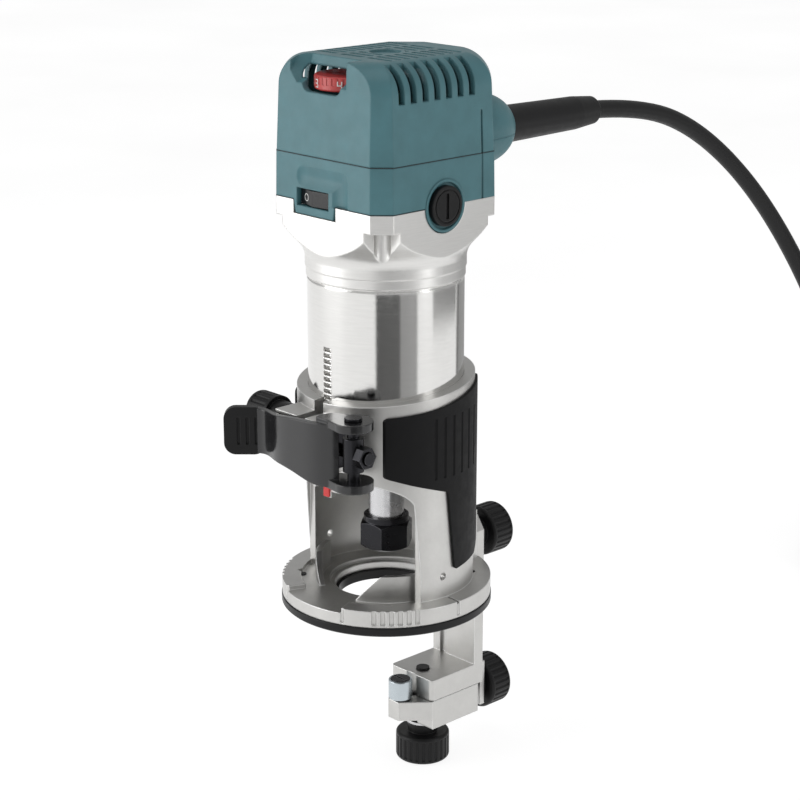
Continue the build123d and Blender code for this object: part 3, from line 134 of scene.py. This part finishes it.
# ---------------------------------------------------------------- materials
def new_material(name):
    """A material with its node tree and its Principled shader."""
    mat = bpy.data.materials.new(name)
    mat.use_nodes = True
    tree = mat.node_tree
    return mat, tree, tree.nodes["Principled BSDF"]


def link(tree, a, b):
    tree.links.new(a, b)


def noise(tree, scale, detail=3.0, rough=0.55, stretch=None):
    """Noise in row-frame metres, stretched when a grain is wanted."""
    coords = tree.nodes.new("ShaderNodeTexCoord")
    texture = tree.nodes.new("ShaderNodeTexNoise")
    texture.inputs["Scale"].default_value = scale
    texture.inputs["Detail"].default_value = detail
    texture.inputs["Roughness"].default_value = rough
    if stretch:
        mapping = tree.nodes.new("ShaderNodeMapping")
        mapping.inputs["Scale"].default_value = stretch
        link(tree, coords.outputs["Object"], mapping.inputs["Vector"])
        link(tree, mapping.outputs["Vector"], texture.inputs["Vector"])
    else:
        link(tree, coords.outputs["Object"], texture.inputs["Vector"])
    return texture.outputs["Fac"]


def ramp(tree, value, low, high, start=0.3, end=0.7):
    """A two-stop ramp between colours (or greys) over a value."""
    node = tree.nodes.new("ShaderNodeValToRGB")
    node.color_ramp.elements[0].position = start
    node.color_ramp.elements[1].position = end
    node.color_ramp.elements[0].color = (*low, 1) if len(low) == 3 else low
    node.color_ramp.elements[1].color = (*high, 1) if len(high) == 3 else high
    link(tree, value, node.inputs["Fac"])
    return node.outputs["Color"]


def grey(value):
    return (value, value, value)


def mix(tree, factor, a, b):
    node = tree.nodes.new("ShaderNodeMix")
    node.data_type = "RGBA"
    link(tree, factor, node.inputs["Factor"])
    link(tree, a, node.inputs["A"])
    if isinstance(b, tuple):
        node.inputs["B"].default_value = (*b, 1)
    else:
        link(tree, b, node.inputs["B"])
    return node.outputs["Result"]


def soft_edges(tree, radius):
    """Normals rounded over the edges by the given radius."""
    bevel = tree.nodes.new("ShaderNodeBevel")
    bevel.samples = 6
    bevel.inputs["Radius"].default_value = radius
    return bevel.outputs["Normal"]


def edge_mask(tree, rounded, strength=6.0):
    """White where the rounded normal leaves the face's own, so along the edges."""
    geometry = tree.nodes.new("ShaderNodeNewGeometry")
    dot = tree.nodes.new("ShaderNodeVectorMath")
    dot.operation = "DOT_PRODUCT"
    link(tree, rounded, dot.inputs[0])
    link(tree, geometry.outputs["True Normal"], dot.inputs[1])
    away = tree.nodes.new("ShaderNodeMath")
    away.operation = "MULTIPLY_ADD"
    away.use_clamp = True
    away.inputs[1].default_value = -strength
    away.inputs[2].default_value = strength * 0.985
    link(tree, dot.outputs["Value"], away.inputs[0])
    return away.outputs["Value"]


def bump(tree, shader, height, distance, strength=1.0, normal=None):
    node = tree.nodes.new("ShaderNodeBump")
    node.inputs["Distance"].default_value = distance
    node.inputs["Strength"].default_value = strength
    link(tree, height, node.inputs["Height"])
    if normal is not None:
        link(tree, normal, node.inputs["Normal"])
    link(tree, node.outputs["Normal"], shader.inputs["Normal"])
    return node


def moulded(name, colour, rough, edge=0.0005, grain=2600.0, depth=0.00003, coat=0.0, wear=None, shine=0.5):
    """Moulded plastic or rubber: fine grain, faint mottling and rounded edges."""
    mat, tree, shader = new_material(name)
    dark = tuple(c * 0.90 for c in colour)
    light = tuple(min(1.0, c * 1.07) for c in colour)
    base = ramp(tree, noise(tree, 90.0, 4.0), dark, light)
    rounded = soft_edges(tree, edge)
    if wear:
        base = mix(tree, edge_mask(tree, rounded, 3.0), base, wear)
    link(tree, base, shader.inputs["Base Color"])
    link(tree, ramp(tree, noise(tree, 260.0, 5.0), grey(rough - 0.05), grey(rough + 0.07)),
         shader.inputs["Roughness"])
    shader.inputs["Coat Weight"].default_value = coat
    shader.inputs["Coat Roughness"].default_value = 0.12
    shader.inputs["Specular IOR Level"].default_value = shine
    bump(tree, shader, noise(tree, grain, 2.0, 0.6), depth, 0.6, rounded)
    return mat


def metal(name, colour, rough, edge=0.0004, stretch=None, grain=900.0, depth=0.00001, wear=None,
          vary=0.08, satin_above=None):
    """Metal with a directional or even grain, brighter where its edges are rubbed, satin above a height."""
    mat, tree, shader = new_material(name)
    shader.inputs["Metallic"].default_value = 1.0
    dark = tuple(c * (1 - vary) for c in colour)
    light = tuple(min(1.0, c * (1 + vary)) for c in colour)
    base = ramp(tree, noise(tree, 120.0, 5.0, 0.6, stretch), dark, light)
    rounded = soft_edges(tree, edge)
    if wear:
        base = mix(tree, edge_mask(tree, rounded), base, wear)
    link(tree, base, shader.inputs["Base Color"])
    grain_noise = noise(tree, grain * 0.4, 4.0, 0.6, stretch)
    roughness = ramp(tree, grain_noise, grey(rough - 0.05), grey(rough + 0.06))
    if satin_above:
        coords = tree.nodes.new("ShaderNodeTexCoord")
        split = tree.nodes.new("ShaderNodeSeparateXYZ")
        link(tree, coords.outputs["Object"], split.inputs["Vector"])
        share = ramp(tree, split.outputs["Z"], grey(0.0), grey(1.0), satin_above, satin_above + 0.0015)
        satin = ramp(tree, noise(tree, 900.0, 4.0), grey(0.31), grey(0.38))
        roughness = mix(tree, share, roughness, satin)
    link(tree, roughness, shader.inputs["Roughness"])
    bump(tree, shader, noise(tree, grain, 3.0, 0.6, stretch), depth, 0.5, rounded)
    return mat


looks = {
    "motor_aluminium": metal("motor_aluminium", (0.72, 0.715, 0.70), 0.09, stretch=(1, 1, 14),
                             wear=(0.80, 0.79, 0.77), vary=0.03, satin_above=SATIN_ABOVE, edge=0.0009),
    "base_aluminium": metal("base_aluminium", (0.58, 0.575, 0.56), 0.40, edge=0.0007, wear=(0.82, 0.82, 0.81),
                            grain=1900.0, depth=0.00004, vary=0.04),
    "teal_plastic": moulded("teal_plastic", (0.062, 0.165, 0.188), 0.40, edge=0.0012, coat=0.08, shine=0.35),
    "black_plastic": moulded("black_plastic", (0.007, 0.007, 0.0075), 0.38, shine=0.25,
                             wear=(0.03, 0.03, 0.03)),
    "gloss_black_plastic": moulded("gloss_black_plastic", (0.006, 0.006, 0.007), 0.22, depth=0.00001,
                                   shine=0.35),
    "red_plastic": moulded("red_plastic", (0.42, 0.030, 0.028), 0.34, coat=0.2),
    "sole_plastic": moulded("sole_plastic", (0.007, 0.007, 0.0075), 0.36, depth=0.00002, shine=0.25),
    "grip_rubber": moulded("grip_rubber", (0.006, 0.006, 0.0065), 0.52, grain=1800.0, depth=0.00005,
                           shine=0.16),
    "cord_rubber": moulded("cord_rubber", (0.007, 0.007, 0.0075), 0.42, grain=1500.0, depth=0.00003,
                           shine=0.3),
    "steel": metal("steel", (0.60, 0.60, 0.61), 0.26, wear=(0.80, 0.80, 0.80), vary=0.04),
    "dark_steel": metal("dark_steel", (0.030, 0.030, 0.033), 0.30, wear=(0.12, 0.12, 0.13)),
    "zinc": metal("zinc", (0.50, 0.55, 0.58), 0.28, wear=(0.75, 0.78, 0.80), vary=0.04),
    "lever_black": moulded("lever_black", (0.007, 0.007, 0.008), 0.20, edge=0.0009, depth=0.00001, coat=0.35),
    "iron_laminate": metal("iron_laminate", (0.20, 0.20, 0.21), 0.42, stretch=(1, 1, 40)),
    "copper": metal("copper", (0.55, 0.22, 0.10), 0.35),
    "commutator_copper": metal("commutator_copper", (0.66, 0.30, 0.15), 0.25),
    "brass": metal("brass", (0.70, 0.52, 0.22), 0.28),
    "carbon": moulded("carbon", (0.02, 0.02, 0.02), 0.5),
    "fan_plastic": moulded("fan_plastic", (0.03, 0.03, 0.033), 0.5),
    "board_green": moulded("board_green", (0.02, 0.11, 0.05), 0.4),
    "signal_red": moulded("signal_red", (0.62, 0.03, 0.03), 0.4),
}
# painted shade: a near-black teal for the thin strips drawn where the parting seams' gaps fall into shade
looks["seam_dark"] = moulded("seam_dark", (0.012, 0.026, 0.030), 0.6)
looks["marking_white"] = moulded("marking_white", (0.72, 0.72, 0.70), 0.5)
for entry in frame["record"]["subparts"]:
    piece = nodes[entry["node"]]
    piece.data.materials.clear()
    piece.data.materials.append(looks[entry["material_slot"]])
cord.data.materials.append(looks["cord_rubber"])


# ---------------------------------------------------------------- floor and light
def stage_mesh(name, points, faces, material):
    """A piece of the studio that isn't part of the object."""
    data = bpy.data.meshes.new(name)
    data.from_pydata(points, [], faces)
    data.materials.append(material)
    obj = bpy.data.objects.new(name, data)
    scene.collection.objects.link(obj)
    return obj


floor_mat, floor_tree, floor_shader = new_material("studio_floor")
paper = ramp(floor_tree, noise(floor_tree, 3.0), grey(0.22), grey(0.24))
link(floor_tree, paper, floor_shader.inputs["Base Color"])
link(floor_tree, ramp(floor_tree, noise(floor_tree, 3.0), grey(0.97), grey(1.0)),
     floor_shader.inputs["Emission Color"])
floor_shader.inputs["Emission Strength"].default_value = FLOOR_GLOW
floor_shader.inputs["Roughness"].default_value = 0.8
floor_shader.inputs["Specular IOR Level"].default_value = 0.1
FLOOR_Z = BENCH - 0.0002
floor_corners = [(x * FLOOR_HALF, y * FLOOR_HALF, FLOOR_Z) for x, y in ((-1, -1), (1, -1), (1, 1), (-1, 1))]
stage_mesh("studio_floor", floor_corners, [(0, 1, 2, 3)], floor_mat)

world = bpy.data.worlds.new("studio")
world.use_nodes = True
world.node_tree.nodes["Background"].inputs["Color"].default_value = (1, 1, 1, 1)
world.node_tree.nodes["Background"].inputs["Strength"].default_value = WORLD_LIGHT
scene.world = world


def toward(degrees, distance, height):
    """A place at an angle from the camera's side of the object, positive to the camera's right."""
    turn = math.radians(CAMERA_TURN + degrees)
    return (distance * math.sin(turn), -distance * math.cos(turn), height)


def panel_light(name, place, size, power, target=(0, 0, 0.09)):
    """A soft rectangular light aimed at the object."""
    data = bpy.data.lights.new(name, "AREA")
    data.shape = "RECTANGLE"
    data.size, data.size_y = size
    data.energy = power
    obj = bpy.data.objects.new(name, data)
    obj.location = place
    obj.rotation_euler = (Vector(target) - Vector(place)).to_track_quat("-Z", "Y").to_euler()
    scene.collection.objects.link(obj)
    return obj


def card(name, start, end, distance, low, high, shade):
    """A curved upright card round the object, seen only in its reflections."""
    steps = 8
    points = []
    for k in range(steps + 1):
        turn = start + (end - start) * k / steps
        points.append(toward(turn, distance, low))
        points.append(toward(turn, distance, high))
    faces = [(2 * k, 2 * k + 2, 2 * k + 3, 2 * k + 1) for k in range(steps)]
    mat, tree, shader = new_material(name)
    tone = ramp(tree, noise(tree, 4.0), grey(shade * 0.9), grey(shade * 1.1))
    link(tree, tone, shader.inputs["Base Color"])
    shader.inputs["Roughness"].default_value = 0.9
    obj = stage_mesh(name, points, faces, mat)
    obj.visible_camera = False
    obj.visible_diffuse = False
    obj.visible_shadow = False
    return obj


panel_light("left_panel", toward(-80, 1.2, 0.40), (0.8, 1.4), LEFT_POWER)
panel_light("right_panel", toward(60, 1.1, 0.35), (0.25, 1.2), RIGHT_POWER)
panel_light("top_panel", (0.15, -0.15, 1.4), (1.1, 1.1), TOP_POWER)
# low cards, because the upright faces mirror the ground half a metre away
card("front_card", -14, 20, 0.45, BENCH, 0.06, 0.13)
card("front_right_card", 20, 45, 0.45, BENCH, 0.06, 0.40)
card("head_card", 70, 120, 0.50, 0.003, 0.10, 0.36)
card("edge_card", 122, 170, 0.50, BENCH, 0.08, 0.36)


# ---------------------------------------------------------------- added detail
def detail(name, points, faces, look, body):
    """A small visual piece in row-frame metres, given in millimetres."""
    data = bpy.data.meshes.new(name)
    data.from_pydata([tuple(MM * c for c in p) for p in points], [], faces)
    solid = bmesh.new()
    solid.from_mesh(data)
    bmesh.ops.recalc_face_normals(solid, faces=solid.faces)
    solid.to_mesh(data)
    solid.free()
    data.materials.append(looks[look])
    obj = bpy.data.objects.new(name, data)
    scene.collection.objects.link(obj)
    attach(obj, body)
    return obj


def seam(name, run, low, high, look, body):
    """A thin upright line on the head's sides along a run of plan points; drawn dark, it is painted shade
    standing in for a parting seam's shaded gap.
    """
    points = []
    for x, y in run:
        for scale in (1.0, 0.991):
            points += [(x * scale, y * scale, low), (x * scale, y * scale, high)]
    faces = []
    for k in range(len(run) - 1):
        a, b = 4 * k, 4 * k + 4
        faces += [(a, b, b + 1, a + 1), (a + 2, a + 3, b + 3, b + 2),
                  (a + 1, b + 1, b + 3, a + 3), (a, a + 2, b + 2, b)]
    end = 4 * (len(run) - 1)
    faces += [(0, 1, 3, 2), (end, end + 2, end + 3, end + 1)]
    return detail(name, points, faces, look, body)


def octagon(half, corner):
    """Plan points of the head's chamfered square, starting at the rear right."""
    return [(half, corner), (half, -corner), (corner, -half),
            (-corner, -half), (-half, -corner), (-half, corner)]


COVER_HALF, COVER_CORNER = 34.2, 27.85
COLLAR_HALF, COLLAR_CORNER = 34.56, 28.05
BOSS_GAP = 11.2           # the lower seam stops short of the brush bosses
COVER_SEAM = (194.4, 194.8)
COLLAR_SEAM = (176.0, 176.4)

# the seam strips below are painted shade: dark lines where the gaps between cover, collar and casting fall
# into shade
cover_run = octagon(COVER_HALF, COVER_CORNER)
cover_run = [(15, COVER_HALF), (COVER_CORNER, COVER_HALF)] + cover_run
cover_run += [(-COVER_CORNER, COVER_HALF), (-15, COVER_HALF)]
seam("cover_seam_painted_shade", cover_run, *COVER_SEAM, "seam_dark", "motor")
# the lower seam leaves out the switch tab, which covers it
seam("collar_seam_shade_front_right",
     [(COLLAR_HALF, -BOSS_GAP), (COLLAR_HALF, -COLLAR_CORNER), (COLLAR_CORNER, -COLLAR_HALF),
      (7.7, -COLLAR_HALF)],
     *COLLAR_SEAM, "seam_dark", "motor")
seam("collar_seam_shade_front_left",
     [(-17.2, -COLLAR_HALF), (-COLLAR_CORNER, -COLLAR_HALF), (-COLLAR_HALF, -COLLAR_CORNER),
      (-COLLAR_HALF, -BOSS_GAP)],
     *COLLAR_SEAM, "seam_dark", "motor")


def flat_ring(name, centre, across, radius, width, lift, look, body):
    """A ring lying on an upright face whose horizontal direction is given."""
    out = Vector((across[1], -across[0], 0)).normalized()
    across = Vector((*across, 0)).normalized()
    points, faces, turns = [], [], 28
    for k in range(turns):
        turn = 2 * math.pi * k / turns
        spoke = across * math.cos(turn) + Vector((0, 0, math.sin(turn)))
        for r in (radius, radius + width):
            for height in (-0.1, lift):
                points.append(tuple(Vector(centre) + spoke * r + out * height))
        a, b = 4 * k, 4 * ((k + 1) % turns)
        faces += [(a + 1, b + 1, b + 3, a + 3), (a, a + 2, b + 2, b),
                  (a, b, b + 1, a + 1), (a + 2, a + 3, b + 3, b + 2)]
    return detail(name, points, faces, look, body)


DIAL_X, DIAL_Y, DIAL_R = -1.5, -18.0, 14.0
DIGIT_LOW, DIGIT_TALL, DIGIT_WIDE, STROKE = 222.0, 2.9, 1.7, 0.42
# strokes of each digit: left, foot, width and height as shares of the digit's own width and height
STROKES = {
    "top": (0, 1, 1, 0), "middle": (0, 0.5, 1, 0), "foot": (0, 0, 1, 0),
    "low_left": (0, 0, 0, 0.5), "high_left": (0, 0.5, 0, 0.5),
    "low_right": (1, 0, 0, 0.5), "high_right": (1, 0.5, 0, 0.5),
}
DIGITS = {
    1: ("low_right", "high_right"),
    2: ("top", "high_right", "middle", "low_left", "foot"),
    3: ("top", "high_right", "middle", "low_right", "foot"),
    4: ("high_left", "high_right", "middle", "low_right"),
    5: ("top", "high_left", "middle", "low_right", "foot"),
    6: ("top", "high_left", "middle", "low_right", "low_left", "foot"),
}


def dial_digit(value, turn):
    """A digit of thin raised strokes on the dial's rim, at a turn from its front in degrees."""
    points, faces = [], []
    for stroke in DIGITS[value]:
        left, foot, wide, tall = STROKES[stroke]
        u0 = (left - 0.5) * DIGIT_WIDE - STROKE / 2
        u1 = u0 + wide * DIGIT_WIDE + STROKE
        z0 = DIGIT_LOW + foot * DIGIT_TALL - STROKE / 2
        z1 = z0 + tall * DIGIT_TALL + STROKE
        first = len(points)
        for r in (DIAL_R - 0.3, DIAL_R + 0.06):
            for u, z in ((u0, z0), (u1, z0), (u1, z1), (u0, z1)):
                angle = math.radians(turn) + u / DIAL_R
                points.append((DIAL_X + r * math.sin(angle), DIAL_Y - r * math.cos(angle), z))
        faces += [tuple(first + k for k in face) for face in
                  ((0, 1, 2, 3), (4, 7, 6, 5), (0, 4, 5, 1), (1, 5, 6, 2), (2, 6, 7, 3), (3, 7, 4, 0))]
    detail("dial_digit_%d" % value, points, faces, "marking_white", "dial")


for value in DIGITS:
    dial_digit(value, -18 + 50 * (value - 3))

flat_ring("rocker_off_mark", (-10.4, -33.37, 177.7), (8.6, -2.1), 1.25, 0.35, 0.05, "marking_white", "rocker")

bpy.context.view_layer.update()
